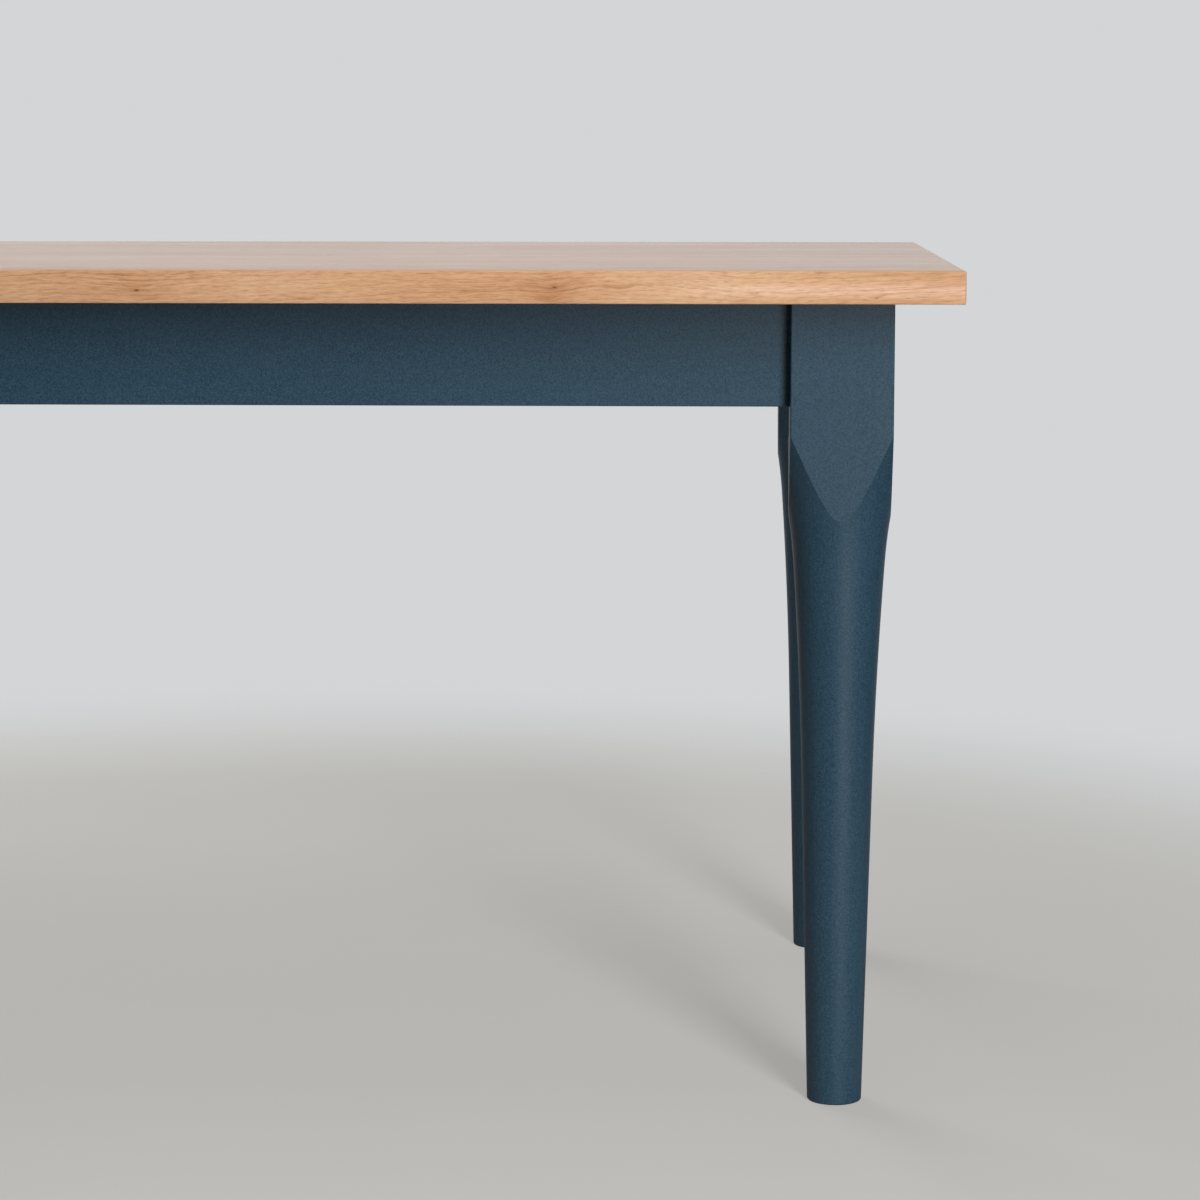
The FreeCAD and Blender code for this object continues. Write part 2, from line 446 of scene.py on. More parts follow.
@dataclass(frozen=True)
class OakFinish:
    """Oiled oak, grown as rings about a pith that runs nearly along +X, so that all faces agree."""

    name: str
    seed: float
    pith_y: float
    pith_z: float
    lean: float = 0.02
    tone: float = 1.0
    front: float = 0.0
    knots: tuple[Knot, ...] = ()
    seed_spread: Triple = (1.0, 1.7, 0.6)
    ring_width: float = 0.0032
    ring_ripple: float = 1.2
    ring_fall: float = 2.5
    faintest_ring: float = 0.25
    late_pores: float = 0.45
    wander: float = 0.05
    sway: float = 0.014
    knot_push: float = 0.006
    knot_tightness: float = 30.0
    wander_scale: Triple = (0.9, 3, 3)
    sway_scale: Triple = (4.5, 6, 6)
    ripple_scale: Triple = (9, 60, 60)
    streak_scale: Triple = (34, 740, 740)
    patch_scale: Triple = (3.2, 26, 20)
    dash_scale: Triple = (110, 1000, 1000)
    dash_range: tuple[float, float] = (0.42, 0.75)
    ray_scale: float = 260.0
    ray_range: tuple[float, float] = (0.55, 0.75)
    end_sharpness: float = 6.0
    base_shade: float = 0.33
    ring_shade: float = 0.24
    streak_shade: float = 1.0
    patch_shade: float = 0.65
    knot_shade: float = 0.3
    pore_shade: float = 0.6
    ray_shade: float = 0.6
    stop_places: tuple[float, ...] = (0.1, 0.42, 0.75, 1.0)
    pale: Colour = tint(232, 190, 150)
    middle: Colour = tint(220, 171, 131)
    deep: Colour = tint(198, 144, 102)
    dark: Colour = tint(176, 122, 84)
    pore: Colour = tint(120, 78, 50)
    end_shade: Colour = tint(226, 206, 188)
    roughness: float = 0.18
    pore_roughness: float = 0.1
    patch_roughness: float = 0.15
    streak_roughness: float = 0.2
    gloss: float = 0.2
    streak_height: float = 0.6
    relief: float = 0.00004
    relief_strength: float = 0.35

    def material(self) -> bpy.types.Material:
        """Write the shader.

        Returns:
            The finished material.
        """
        material, sheet = material_sheet(self.name)
        spot = sheet.place()
        x, y, z = sheet.split(spot)
        swell, core = self._knots(x, y, z)
        across, along = self._from_pith(sheet, spot, (x, y, z), swell)
        grain = sheet.node("ShaderNodeCombineXYZ", sockets={"X": x, "Y": across, "Z": along})
        early = self._early_wood(sheet, grain, across, along)
        streak_place = sheet.mapped(grain, self.streak_scale, self._shift(GrainLayer.STREAK))
        patch_place = sheet.mapped(spot, self.patch_scale, self._shift(GrainLayer.PATCH))
        dash_place = sheet.mapped(grain, self.dash_scale, self._shift(GrainLayer.DASH))
        streak = sheet.swing(streak_place, detail=4, roughness=0.65)
        patch = sheet.swing(patch_place, detail=3, roughness=0.6)
        dashes = sheet.noise(dash_place, detail=2, roughness=0.6)
        pores = dashes.step(*self.dash_range) * (self.late_pores + early * (1 - self.late_pores))
        shade = (self.base_shade + early * self.ring_shade + streak * self.streak_shade
                 + patch * self.patch_shade + swell * self.knot_shade)
        colour = sheet.ramp(shade, self._stops())
        colour = sheet.mix(pores * self.pore_shade + core, colour, scaled(self.pore, self.tone))
        end = self._end_grain(sheet, across.math("ARCTAN2", along))
        colour = sheet.mix(end, colour, self.end_shade, "MULTIPLY")
        roughness = (self.roughness + pores * self.pore_roughness + patch * self.patch_roughness
                     + streak * self.streak_roughness)
        height = streak * self.streak_height - pores - core
        shader = sheet.node("ShaderNodeBsdfPrincipled", sockets={
            "Base Color": colour,
            "Roughness": roughness,
            "Specular IOR Level": self.gloss,
            "Normal": sheet.bump(height, self.relief, self.relief_strength),
        })
        sheet.close(shader)
        return material

    def _stops(self) -> Stops:
        """The ramp from the palest to the darkest wood of this board."""
        woods = (self.pale, self.middle, self.deep, self.dark)
        return [(place, scaled(wood, self.tone)) for place, wood in zip(self.stop_places, woods)]

    def _shift(self, layer: GrainLayer) -> Vector:
        """Where this board lies in the noise of one layer."""
        return Vector([self.seed * share for share in self.seed_spread]) * layer.value

    def _from_pith(self, sheet: Sheet, spot: Value, place: tuple[Value, Value, Value],
                   swell: Number) -> tuple[Value, Value]:
        """Measure from the pith, which wanders as the tree did.

        Args:
            sheet: The material's sheet.
            spot: The shaded point.
            place: The same point in its three parts.
            swell: How far a knot pushes the rings aside, from 0 to 1.

        Returns:
            The distances from the pith across the board and up through it.
        """
        x, y, z = place
        wander_place = sheet.mapped(spot, self.wander_scale, self._shift(GrainLayer.WANDER))
        wander = sheet.noise(wander_place, detail=2, output="Color")
        _, wander_y, wander_z = sheet.split(wander)
        sway_place = sheet.mapped(spot, self.sway_scale, self._shift(GrainLayer.SWAY))
        sway = sheet.noise(sway_place, detail=1, output="Color")
        _, sway_y, sway_z = sheet.split(sway)
        across = (y - self.pith_y + (wander_y - NOISE_MIDDLE) * self.wander
                  + (sway_y - NOISE_MIDDLE) * self.sway)
        along = (z - self.pith_z + (wander_z - NOISE_MIDDLE) * self.wander
                 + (sway_z - NOISE_MIDDLE) * self.sway)
        return across, along + x * self.lean + swell * self.knot_push

    def _early_wood(self, sheet: Sheet, grain: Value, across: Value, along: Value) -> Value:
        """Lay the rings, each with its own strength.

        Args:
            sheet: The material's sheet.
            grain: The place that the grain's noise is read at.
            across: The distance from the pith across the board.
            along: The distance from the pith up through it.

        Returns:
            How early in its ring the wood grew, from 0 to 1.
        """
        ripple_place = sheet.mapped(grain, self.ripple_scale, self._shift(GrainLayer.RIPPLE))
        ripple = sheet.swing(ripple_place, detail=2)
        distance = (across * across + along * along).root()
        rings = distance / self.ring_width + ripple * self.ring_ripple
        ring_number = rings.floor()
        late = rings - ring_number
        strength = sheet.node("ShaderNodeTexWhiteNoise", {"noise_dimensions": "1D"},
                              {"W": ring_number})
        contrast = self.faintest_ring + strength * (1 - self.faintest_ring)
        return (1 - late) ** self.ring_fall * contrast

    def _end_grain(self, sheet: Sheet, angle: Value) -> Value:
        """Mask the sawn ends, which are darker and crossed by pale rays from the pith.

        Args:
            sheet: The material's sheet.
            angle: The heading from the pith, in radians.

        Returns:
            The mask, from 0 to 1.
        """
        facing, _, _ = sheet.split(sheet.place("Normal"))
        rays = sheet.node("ShaderNodeTexNoise", {"noise_dimensions": "1D"},
                          {"W": angle * self.ray_scale, "Scale": 1.0, "Detail": 1.0})
        pale_rays = rays.step(*self.ray_range) * self.ray_shade
        return (abs(facing) ** self.end_sharpness) * (1 - pale_rays)

    def _knots(self, x: Value, y: Value, z: Value) -> tuple[Number, Number]:
        """Lay the board's knots.

        Args:
            x: The place along the table.
            y: The place across it.
            z: The height.

        Returns:
            The soft patch about the knots and their dark cores, both from 0 to 1.
        """
        swell: Number = 0.0
        core: Number = 0.0
        for knot in self.knots:
            beside = (x - knot.x) / knot.reach
            above = (z - knot.z) / knot.height
            inward = (y - self.front) / knot.depth
            near = beside ** 2 + above ** 2 + inward * inward
            swell = (near * -1).exp() * knot.shade + swell
            core = (near * -self.knot_tightness).exp() * knot.core + core
        return swell, core


@dataclass(frozen=True)
class PaintFinish:
    """Satin paint on wood: a rolled stipple, here and there a little thin, over a faint grain."""

    name: str
    colour: Colour = tint(28, 57, 75)
    thin: Colour = tint(56, 85, 103)
    grain_turn: float = 0.0
    grain_scale: Triple = (8, 260, 260)
    stipple_scale: Triple = (620, 620, 620)
    cloud_scale: Triple = (9, 9, 9)
    base_shade: float = 0.45
    cloud_shade: float = 0.2
    stipple_shade: float = 2.2
    grain_shade: float = 0.3
    roughness: float = 0.5
    cloud_roughness: float = 0.12
    stipple_roughness: float = 0.1
    gloss: float = 0.5
    grain_height: float = 0.5
    relief: float = 0.00025
    relief_strength: float = 0.35

    def material(self) -> bpy.types.Material:
        """Write the shader.

        Returns:
            The finished material.
        """
        material, sheet = material_sheet(self.name)
        spot = sheet.place()
        grain_place = sheet.mapped(spot, self.grain_scale, turn=self.grain_turn)
        stipple = sheet.swing(sheet.mapped(spot, self.stipple_scale), detail=2, roughness=0.6)
        grain = sheet.swing(grain_place, detail=3)
        cloud = sheet.swing(sheet.mapped(spot, self.cloud_scale), detail=2)
        shade = (self.base_shade + cloud * self.cloud_shade + stipple * self.stipple_shade
                 + grain * self.grain_shade)
        roughness = (self.roughness + cloud * self.cloud_roughness
                     + stipple * self.stipple_roughness)
        height = stipple + grain * self.grain_height
        shader = sheet.node("ShaderNodeBsdfPrincipled", sockets={
            "Base Color": sheet.mix(shade, self.colour, self.thin),
            "Roughness": roughness,
            "Specular IOR Level": self.gloss,
            "Normal": sheet.bump(height, self.relief, self.relief_strength),
        })
        sheet.close(shader)
        return material


@dataclass(frozen=True)
class BeechFinish:
    """Bare beech: an even tan with short brown flecks along the grain."""

    name: str
    turn: float = 0.0
    pale: Colour = tint(222, 190, 152)
    warm: Colour = tint(204, 164, 122)
    fleck: Colour = tint(150, 104, 68)
    ring_scale: Triple = (3, 60, 45)
    fibre_scale: Triple = (18, 500, 500)
    fibre_shift: Triple = (3, 1, 2)
    fibre_shade: float = 0.6
    fleck_scale: Triple = (260, 1500, 700)
    fleck_shift: Triple = (1, 4, 2)
    fleck_range: tuple[float, float] = (0.62, 0.74)
    fleck_shade: float = 0.6
    roughness: float = 0.6
    fibre_roughness: float = 0.15
    relief: float = 0.0002
    relief_strength: float = 0.3

    def material(self) -> bpy.types.Material:
        """Write the shader.

        Returns:
            The finished material.
        """
        material, sheet = material_sheet(self.name)
        spot = sheet.place()
        ring_place = sheet.mapped(spot, self.ring_scale, turn=self.turn)
        fibre_place = sheet.mapped(spot, self.fibre_scale, self.fibre_shift, self.turn)
        fleck_place = sheet.mapped(spot, self.fleck_scale, self.fleck_shift, self.turn)
        rings = sheet.noise(ring_place, detail=3)
        fibre = sheet.swing(fibre_place, detail=3, roughness=0.6)
        flecks = sheet.noise(fleck_place, detail=1).step(*self.fleck_range)
        colour = sheet.mix(rings + fibre * self.fibre_shade, self.pale, self.warm)
        colour = sheet.mix(flecks * self.fleck_shade, colour, self.fleck)
        shader = sheet.node("ShaderNodeBsdfPrincipled", sockets={
            "Base Color": colour,
            "Roughness": self.roughness + fibre * self.fibre_roughness,
            "Normal": sheet.bump(fibre - flecks, self.relief, self.relief_strength),
        })
        sheet.close(shader)
        return material


@dataclass(frozen=True)
class ZincFinish:
    """Bright zinc plating on steel: cloudy, slightly blue and yellow, with fine tumbling marks."""

    name: str = "zinc_plate"
    bright: Colour = tint(206, 208, 210)
    dull: Colour = tint(168, 168, 160)
    cloud_scale: Triple = (180, 180, 180)
    cloud_range: tuple[float, float] = (0.35, 0.65)
    mark_scale: Triple = (2200, 2200, 2200)
    roughness: float = 0.3
    cloud_roughness: float = 0.15
    mark_roughness: float = 0.1
    relief: float = 0.00005
    relief_strength: float = 0.3

    def material(self) -> bpy.types.Material:
        """Write the shader.

        Returns:
            The finished material.
        """
        material, sheet = material_sheet(self.name)
        spot = sheet.place()
        cloud = sheet.noise(sheet.mapped(spot, self.cloud_scale), detail=3)
        marks = sheet.noise(sheet.mapped(spot, self.mark_scale), detail=2)
        roughness = self.roughness + cloud * self.cloud_roughness + marks * self.mark_roughness
        shader = sheet.node("ShaderNodeBsdfPrincipled", sockets={
            "Base Color": sheet.mix(cloud.step(*self.cloud_range), self.bright, self.dull),
            "Metallic": 1.0,
            "Roughness": roughness,
            "Normal": sheet.bump(marks, self.relief, self.relief_strength),
        })
        sheet.close(shader)
        return material


# Modelling by hand

def select_only(*pieces: bpy.types.Object) -> None:
    """Select some pieces and nothing else, and make the first one active.

    Args:
        pieces: The pieces.
    """
    bpy.ops.object.select_all(action="DESELECT")
    for piece in pieces:
        piece.select_set(True)
    bpy.context.view_layer.objects.active = pieces[0]


def settle(piece: bpy.types.Object, location: Sequence[float] = (0, 0, 0),
           rotation: Sequence[float] = (0, 0, 0)) -> bpy.types.Object:
    """Move and turn a piece and apply that to its mesh.

    Args:
        piece: The piece.
        location: Where its origin goes.
        rotation: Its turns about X, Y and Z, in radians.

    Returns:
        The same piece, at the origin again.
    """
    select_only(piece)
    piece.rotation_euler = rotation
    piece.location = location
    bpy.ops.object.transform_apply(location=True, rotation=True, scale=True)
    return piece


def start_block(name: str, low: Sequence[float], high: Sequence[float]) -> bpy.types.Object:
    """Add a cube that fills the box between two corners.

    Args:
        name: The piece's name.
        low: The lowest corner.
        high: The highest corner.

    Returns:
        The piece.
    """
    low, high = Vector(low), Vector(high)
    bpy.ops.object.select_all(action="DESELECT")
    bpy.ops.mesh.primitive_cube_add(size=1, location=(low + high) / 2, scale=high - low)
    piece = bpy.context.object
    piece.name = name
    return settle(piece, piece.location)


def start_turning(name: str, stations: Sequence[Vector], sides: int) -> bpy.types.Object:
    """Turn a closed round piece about +Z: a disc, extruded and scaled from station to station.

    Args:
        name: The piece's name.
        stations: The radius and height of every station, from the bottom up.
        sides: How many sides the round has.

    Returns:
        The piece.
    """
    bpy.ops.object.select_all(action="DESELECT")
    bpy.ops.mesh.primitive_circle_add(vertices=sides, radius=stations[0].x, fill_type="NGON",
                                      location=(0, 0, stations[0].y))
    piece = bpy.context.object
    piece.name = name
    settle(piece, piece.location)
    with editing(piece, Element.FACE):
        bpy.ops.mesh.select_all(action="SELECT")
        for below, above in zip(stations, stations[1:]):
            extrude((0, 0, above.y - below.y))
            growth = above.x / below.x
            bpy.ops.transform.resize(value=(growth, growth, 1), center_override=(0, 0, above.y))
        point_outwards()
    return piece


@contextmanager
def editing(piece: bpy.types.Object, element: Element) -> Iterator[None]:
    """Open a piece in edit mode with nothing selected, and close it afterwards.

    Args:
        piece: The piece.
        element: What will be picked on it.

    Yields:
        Nothing, while the piece is open.
    """
    select_only(piece)
    bpy.ops.object.mode_set(mode="EDIT")
    bpy.ops.mesh.select_mode(type=element.value)
    bpy.ops.mesh.select_all(action="DESELECT")
    yield
    bpy.ops.object.mode_set(mode="OBJECT")


def extrude(offset: Triple) -> None:
    """Extrude what is selected in edit mode and move its new end by an offset."""
    bpy.ops.mesh.extrude_region_move(TRANSFORM_OT_translate={"value": offset})


def point_outwards() -> None:
    """Recalculate the normals of the whole mesh that is open in edit mode."""
    bpy.ops.mesh.select_all(action="SELECT")
    bpy.ops.mesh.normals_make_consistent(inside=False)


def pick_edges(piece: bpy.types.Object, wanted: Callable[[Vector, Vector], bool]) -> None:
    """Select the edges, in edit mode, whose two ends pass a test.

    Args:
        piece: The piece that is open.
        wanted: The test.
    """
    mesh = bmesh.from_edit_mesh(piece.data)
    for edge in mesh.edges:
        edge.select_set(wanted(edge.verts[0].co, edge.verts[1].co))
    bmesh.update_edit_mesh(piece.data)


def pick_faces(piece: bpy.types.Object, wanted: Callable[[Vector, Vector], bool]) -> None:
    """Select the faces, in edit mode, whose middle and normal pass a test.

    Args:
        piece: The piece that is open.
        wanted: The test.
    """
    mesh = bmesh.from_edit_mesh(piece.data)
    for face in mesh.faces:
        face.select_set(wanted(face.calc_center_median(), face.normal))
    bmesh.update_edit_mesh(piece.data)


def combine(piece: bpy.types.Object, tool: bpy.types.Object,
            joining: Joining) -> bpy.types.Object:
    """Cut a piece by a tool, keep what they share or add them up, and throw the tool away.

    Args:
        piece: The piece.
        tool: The other shape.
        joining: What the tool does to the piece.

    Returns:
        The changed piece.
    """
    select_only(piece)
    modifier = piece.modifiers.new(joining.name, "BOOLEAN")
    modifier.operation = joining.value
    modifier.object = tool
    modifier.solver = "EXACT"
    bpy.ops.object.modifier_apply(modifier=modifier.name)
    bpy.data.objects.remove(tool)
    return piece


def copy_of(piece: bpy.types.Object, name: str, location: Sequence[float],
            rotation: Sequence[float]) -> bpy.types.Object:
    """Copy a piece with its own mesh and settle the copy in place.

    Args:
        piece: The piece to copy.
        name: The copy's name.
        location: Where the copy's origin goes.
        rotation: Its turns about X, Y and Z, in radians.

    Returns:
        The copy.
    """
    select_only(piece)
    bpy.ops.object.duplicate(linked=False)
    copy = bpy.context.object
    copy.name = name
    return settle(copy, location, rotation)


def join(pieces: Sequence[bpy.types.Object]) -> bpy.types.Object:
    """Join pieces into the first one.

    Args:
        pieces: The pieces.

    Returns:
        The first one, which now holds them all.
    """
    select_only(*pieces)
    bpy.ops.object.join()
    return pieces[0]


def shade(piece: bpy.types.Object, degrees: float) -> None:
    """Shade a piece smooth where its faces meet at less than an angle."""
    select_only(piece)
    bpy.ops.object.shade_smooth_by_angle(angle=math.radians(degrees))


def dress(piece: bpy.types.Object, material: bpy.types.Material) -> None:
    """Give a piece one material in place of any that it has.

    Args:
        piece: The piece.
        material: Its material.
    """
    if piece.material_slots:
        piece.material_slots[0].material = material
    else:
        piece.data.materials.append(material)


def hand_over(piece: bpy.types.Object, slot: Slot, material: bpy.types.Material,
              *nodes: str) -> None:
    """Finish a new piece: dress it, tie it to the body and let it stand for its nodes.

    Args:
        piece: The piece.
        slot: The record's slot for the piece; not used.
        material: Its material.
        nodes: The nodes that it stands for.
    """
    dress(piece, material)
    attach(piece, BODY)
    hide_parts(*nodes)
    log.info("%s: %d faces, for %s", piece.name, len(piece.data.polygons), ", ".join(nodes))


def dress_node(node: str, material: bpy.types.Material) -> None:
    """Give a node that keeps its solid a better finish."""
    dress(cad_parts[node], material)
    log.info("%s: finished in %s", node, material.name)


def button_nodes() -> list[str]:
    """Name the nodes of the buttons that hold the top."""
    return sorted(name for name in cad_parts
                  if name.startswith("top_button_") and name[-1].isdigit())


def button_side(node: str) -> Side:
    """Tell which apron holds a button."""
    return Side[node.split("_")[2].upper()]


def button_point(node: str, inset: float) -> Vector:
    """Find a point on the middle line of a button's underside.

    Args:
        node: The button's node.
        inset: The point's distance from the end that is away from the apron.

    Returns:
        The point.
    """
    low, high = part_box(node)
    middle = (low + high) / 2
    half_length = max(high.x - low.x, high.y - low.y) / 2
    turn = Matrix.Rotation(button_side(node).value, 3, "Z")
    return Vector((middle.x, middle.y, low.z)) + turn @ Vector((0, inset - half_length, 0))


def block_corner(corner: Corner) -> tuple[Vector, float]:
    """Find the corner of the aprons that a corner block fills.

    Args:
        corner: The table's corner.

    Returns:
        The corner, half-way up the block, and how far the block reaches along each apron.
    """
    low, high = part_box(f"corner_block_{corner.label}")
    side_x, side_y = corner.value
    outer_x = high.x if side_x > 0 else low.x
    outer_y = high.y if side_y > 0 else low.y
    return Vector((outer_x, outer_y, (low.z + high.z) / 2)), high.x - low.x


# Sub-assemblies

@dataclass
class OakTop:
    """The edge-glued top, whose boards are each cut from another place in a log."""

    arris: float = 0.0011
    arris_steps: int = 3
    joint_tolerance: float = 1e-5
    crease: float = 35.0
    first_seed: float = 3.7
    seed_step: float = 11.3
    pith_depths: tuple[float, ...] = (-0.10, -0.07, 0.11, -0.14, 0.09, -0.06, -0.12)
    pith_offsets: tuple[float, ...] = (0.012, -0.05, 0.02, -0.01, 0.045, 0.0, -0.03)
    leans: tuple[float, ...] = (-0.03, -0.03, 0.022, 0.016, -0.02, 0.028, -0.014)
    tones: tuple[float, ...] = (1.0, 0.95, 1.03, 0.93, 1.0, 0.96, 1.02)
    knots: tuple[Knot, ...] = (
        Knot(0.094, 0.7339, 0.045, 0.014, 0.02, 0.55, 0.2),
        Knot(0.094, 0.7330, 0.010, 0.004, 0.01, 0.2, 1.0),
        Knot(0.450, 0.7350, 0.024, 0.016, 0.02, 0.75, 0.1),
        Knot(0.451, 0.7362, 0.010, 0.004, 0.01, 0.3, 1.0),
        Knot(0.4465, 0.7255, 0.012, 0.004, 0.01, 0.5, 0.0),
        Knot(0.506, 0.7360, 0.012, 0.005, 0.01, 0.55, 0.1),
        Knot(0.724, 0.7274, 0.008, 0.003, 0.01, 0.5, 0.8),
        Knot(0.380, 0.7360, 0.080, 0.040, 0.05, 0.5, 0.0),
        # The broad patch at the right end is painted shade: it darkens the front edge where the
        # lamps light it more.
        Knot(0.760, 0.7360, 0.120, 0.040, 0.05, 0.3, 0.0),
    )
    nodes: list[str] = field(init=False)
    low: Vector = field(init=False)
    high: Vector = field(init=False)

    def __post_init__(self) -> None:
        """Take the size of the whole top from its first and last boards."""
        self.nodes = sorted(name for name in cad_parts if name.startswith("top_board_"))
        self.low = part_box(self.nodes[0])[0]
        self.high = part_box(self.nodes[-1])[1]

    def build(self) -> None:
        """Model and dress every board."""
        for number, node in enumerate(self.nodes):
            board = self._board(node)
            hand_over(board, Slot.OAK, self._finish(number, node).material(), node)

    def _outside(self, point: Vector) -> int:
        """Count the outer planes of the whole top that a point lies on."""
        planes = zip((*point, *point), (*self.low, *self.high))
        return sum(abs(place - plane) < self.joint_tolerance for place, plane in planes)

    def _on_arris(self, start: Vector, end: Vector) -> bool:
        """Tell whether an edge lies on an outer arris of the top, and not on a glued joint."""
        return self._outside((start + end) / 2) >= 2

    def _board(self, node: str) -> bpy.types.Object:
        """Model one board, with its outer arrises rounded.

        Args:
            node: The board's node.

        Returns:
            The board.
        """
        board = start_block(node.replace("top", "oak"), *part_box(node))
        with editing(board, Element.EDGE):
            pick_edges(board, self._on_arris)
            bpy.ops.mesh.bevel(offset=self.arris, segments=self.arris_steps)
        shade(board, self.crease)
        return board

    def _finish(self, number: int, node: str) -> OakFinish:
        """Choose where in the log one board comes from.

        Args:
            number: The board's number, from 0 at the front.
            node: Its node.

        Returns:
            Its finish.
        """
        low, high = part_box(node)
        middle = (low + high) / 2
        return OakFinish(
            name=f"oak_{number + 1}",
            seed=self.first_seed + self.seed_step * number,
            pith_y=middle.y + self.pith_offsets[number],
            pith_z=middle.z + self.pith_depths[number],
            lean=self.leans[number],
            tone=self.tones[number],
            front=self.low.y,
            knots=self.knots if number == 0 else (),
        )


@dataclass
class TurnedLegs:
    """The legs: a square head, a flare that cuts into its corners, a sweep and a straight taper."""

    head_length: float = 0.117
    flare_length: float = 0.115
    flare_radius: float = 0.0405
    sweep_length: float = 0.197
    taper_radius: float = 0.0315
    foot_radius: float = 0.0245
    foot_round: float = 0.0018
    foot_angles: tuple[float, ...] = (0, 30, 60, 90)
    head_arris: float = 0.0012
    arris_steps: int = 4
    bolt_flat_width: float = 0.040
    bolt_flat_length: float = 0.084
    overrun: float = 0.004
    sides: int = 128
    arc_steps: int = 14
    crease: float = 6.0

    def build(self, material: bpy.types.Material) -> None:
        """Model one leg, copy it to the corners and dress the copies.

        Args:
            material: The base's paint.
        """
        pattern = self._pattern()
        for corner in Corner:
            node = f"leg_{corner.label}"
            low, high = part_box(node)
            axis = (low + high) / 2
            foot = (axis.x, axis.y, low.z)
            turn = corner.inward - Corner.BACK_RIGHT.inward
            leg = copy_of(pattern, f"turned_leg_{corner.label}", foot, (0, 0, turn))
            shade(leg, self.crease)
            hand_over(leg, Slot.PAINT, material, node)
        bpy.data.objects.remove(pattern)

    def _pattern(self) -> bpy.types.Object:
        """Model the back right leg about its own axis.

        Returns:
            The leg.
        """
        low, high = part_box("leg_back_right")
        half = (high.x - low.x) / 2
        height = high.z - low.z
        post = start_block("leg_pattern", (-half, -half, 0), (half, half, height))
        with editing(post, Element.EDGE):
            pick_edges(post, lambda start, end: (start.xy - end.xy).length < self.overrun)
            bpy.ops.mesh.bevel(offset=self.head_arris, segments=self.arris_steps)
        turning = start_turning("turning", self._stations(half, height), self.sides)
        combine(post, turning, Joining.SHARE)
        return combine(post, self._flat_tool(half, height), Joining.CUT)

    def _stations(self, half: float, height: float) -> list[Vector]:
        """Work out the turning's outline from the foot up, past the head's corners and its top.

        Args:
            half: Half the head's width.
            height: The leg's height.

        Returns:
            The radius and height of every station.
        """
        taper_height = height - self.head_length - self.flare_length - self.sweep_length
        taper_top = Vector((self.taper_radius, taper_height))
        sweep_top = Vector((self.flare_radius, taper_top.y + self.sweep_length))
        flare_top = Vector((half * math.sqrt(2), sweep_top.y + self.flare_length))
        inner = self.foot_radius - self.foot_round
        foot = [Vector((inner + self.foot_round * math.sin(angle),
                        self.foot_round * (1 - math.cos(angle))))
                for angle in map(math.radians, self.foot_angles)]
        taper = (taper_top - Vector((self.foot_radius, 0))).normalized()
        sweep, heading = tangent_arc(taper_top, taper, sweep_top, self.arc_steps)
        flare, heading = tangent_arc(sweep_top, heading, flare_top, self.arc_steps)
        rim = flare_top + heading * self.overrun
        return [*foot, taper_top, *sweep, *flare, rim, Vector((rim.x, height + self.overrun))]

    def _flat_tool(self, half: float, height: float) -> bpy.types.Object:
        """Model what cuts the inner corner flat for the bolts, with a sloping lower end.

        Args:
            half: Half the head's width.
            height: The leg's height.

        Returns:
            The tool.
        """
        width = self.bolt_flat_width
        near = half * math.sqrt(2) - width / 2
        bottom = height - self.bolt_flat_length
        top = height + self.overrun
        tool = start_block("flat_tool", (near, -width, bottom), (near + width, width, top))

        def outer_foot(start: Vector, end: Vector) -> bool:
            """Tell whether an edge is the lowest one on the outside."""
            return max(start.z, end.z) < height and min(start.x, end.x) > near

        with editing(tool, Element.EDGE):
            pick_edges(tool, outer_foot)
            bpy.ops.transform.translate(value=(0, 0, -width))
        return settle(tool, rotation=(0, 0, Corner.BACK_RIGHT.inward))


def tangent_arc(start: Vector, heading: Vector, end: Vector,
                steps: int) -> tuple[list[Vector], Vector]:
    """Lay points on the arc that leaves a point with a heading and ends at another point.

    Args:
        start: The first point, which isn't among the points returned.
        heading: The unit direction at the start.
        end: The last point.
        steps: How many points are laid.

    Returns:
        The points and the direction at the end.
    """
    chord = end - start
    side = (chord - heading * chord.dot(heading)).normalized()
    half_turn = math.atan2(chord.dot(side), chord.dot(heading))
    radius = chord.length / (2 * math.sin(half_turn))
    turns = [2 * half_turn * step / steps for step in range(1, steps + 1)]
    points = [start + heading * (radius * math.sin(turn)) + side * (radius * (1 - math.cos(turn)))
              for turn in turns]
    return points, heading * math.cos(2 * half_turn) + side * math.sin(2 * half_turn)


@dataclass
class PaintedFrame:
    """The aprons, which keep their solids."""

    def build(self, long_paint: bpy.types.Material, end_paint: bpy.types.Material) -> None:
        """Dress the aprons.

        Args:
            long_paint: The paint over grain along the table.
            end_paint: The paint over grain across it.
        """
        for side in Side:
            dress_node(f"apron_{side.label}", long_paint if side.is_long else end_paint)


